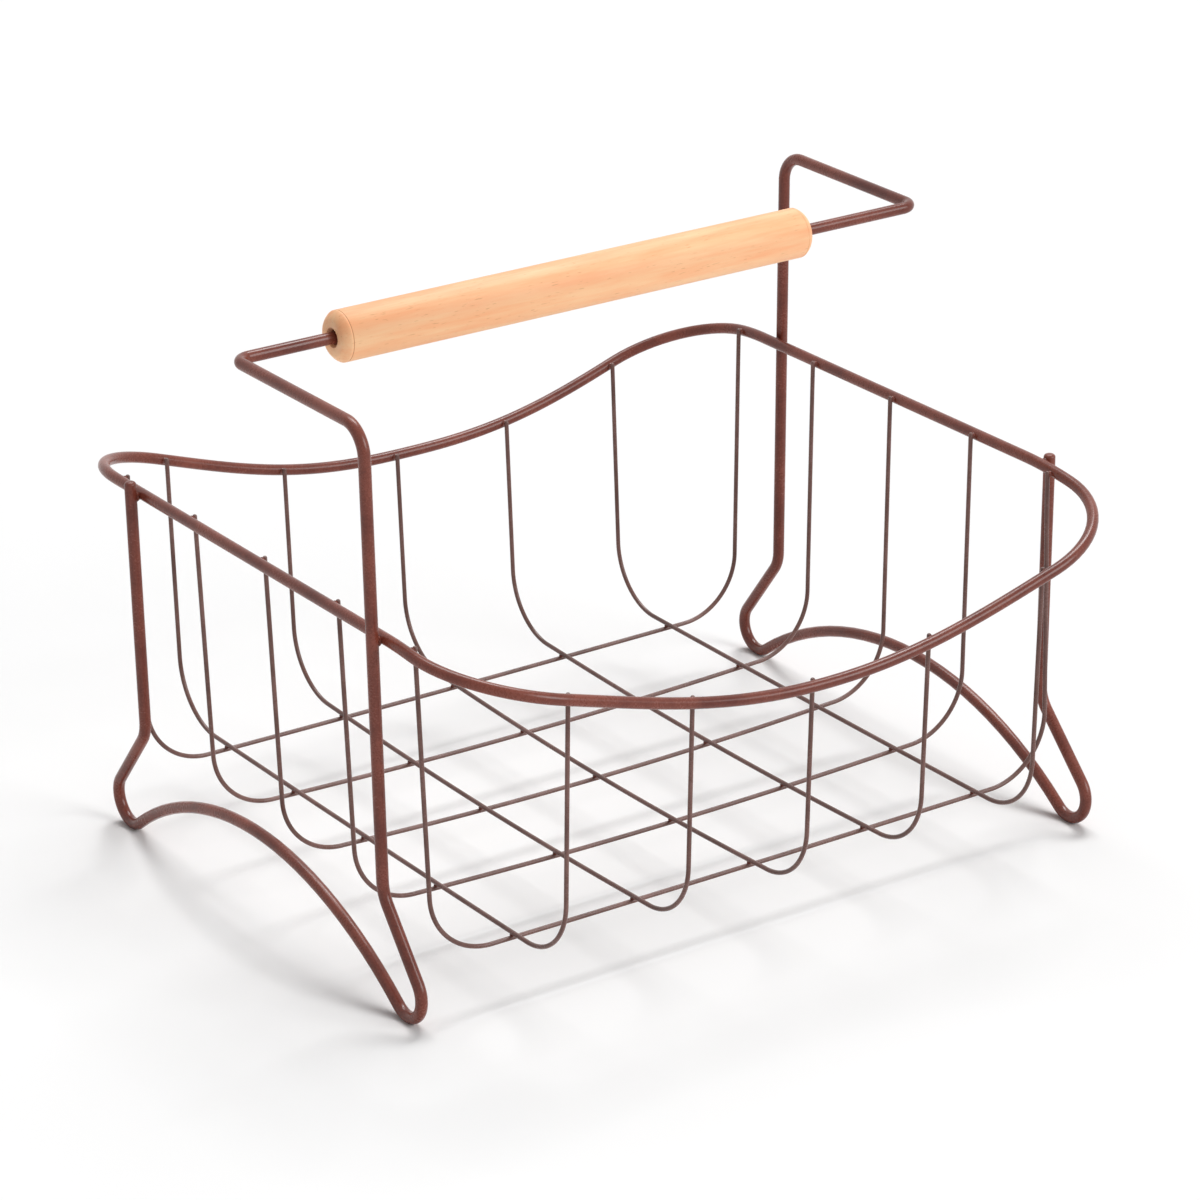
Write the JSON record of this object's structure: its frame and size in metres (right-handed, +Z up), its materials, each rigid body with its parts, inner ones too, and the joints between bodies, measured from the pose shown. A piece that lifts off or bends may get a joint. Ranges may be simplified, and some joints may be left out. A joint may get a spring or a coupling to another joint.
{
  "type": "wire produce basket",
  "caption": "Open wire basket with a dipped rim, arched feet at both ends and a bar handle that carries a loose turned wooden grip, for carrying and storing produce.",
  "frame": {"origin": "middle of the basket in plan, on the surface the feet stand on", "axes": "+X along the handle bar towards the right end in the picture, +Y away from the viewer to the back, +Z up"},
  "size_m": [0.3514, 0.3307, 0.2628],
  "materials": {
    "brown_paint": "satin",
    "pale_wood": "satin"
  },
  "bodies": {
    "basket": {"frame_wire": "brown_paint", "rim_wire": "brown_paint", "lengthwise_wire_1": "brown_paint", "lengthwise_wire_2": "brown_paint", "lengthwise_wire_3": "brown_paint", "lengthwise_wire_4": "brown_paint", "lengthwise_wire_5": "brown_paint", "crosswise_wire_1": "brown_paint", "crosswise_wire_2": "brown_paint", "crosswise_wire_3": "brown_paint", "crosswise_wire_4": "brown_paint", "crosswise_wire_5": "brown_paint"},
    "grip": {"handle_grip": "pale_wood"}
  },
  "joints": [
    {"name": "grip_spin", "type": "hinge", "parent": "basket", "child": "grip", "pos_m": [0, 0, 0.2518], "axis": [1, 0, 0], "continuous": true}
  ]
}
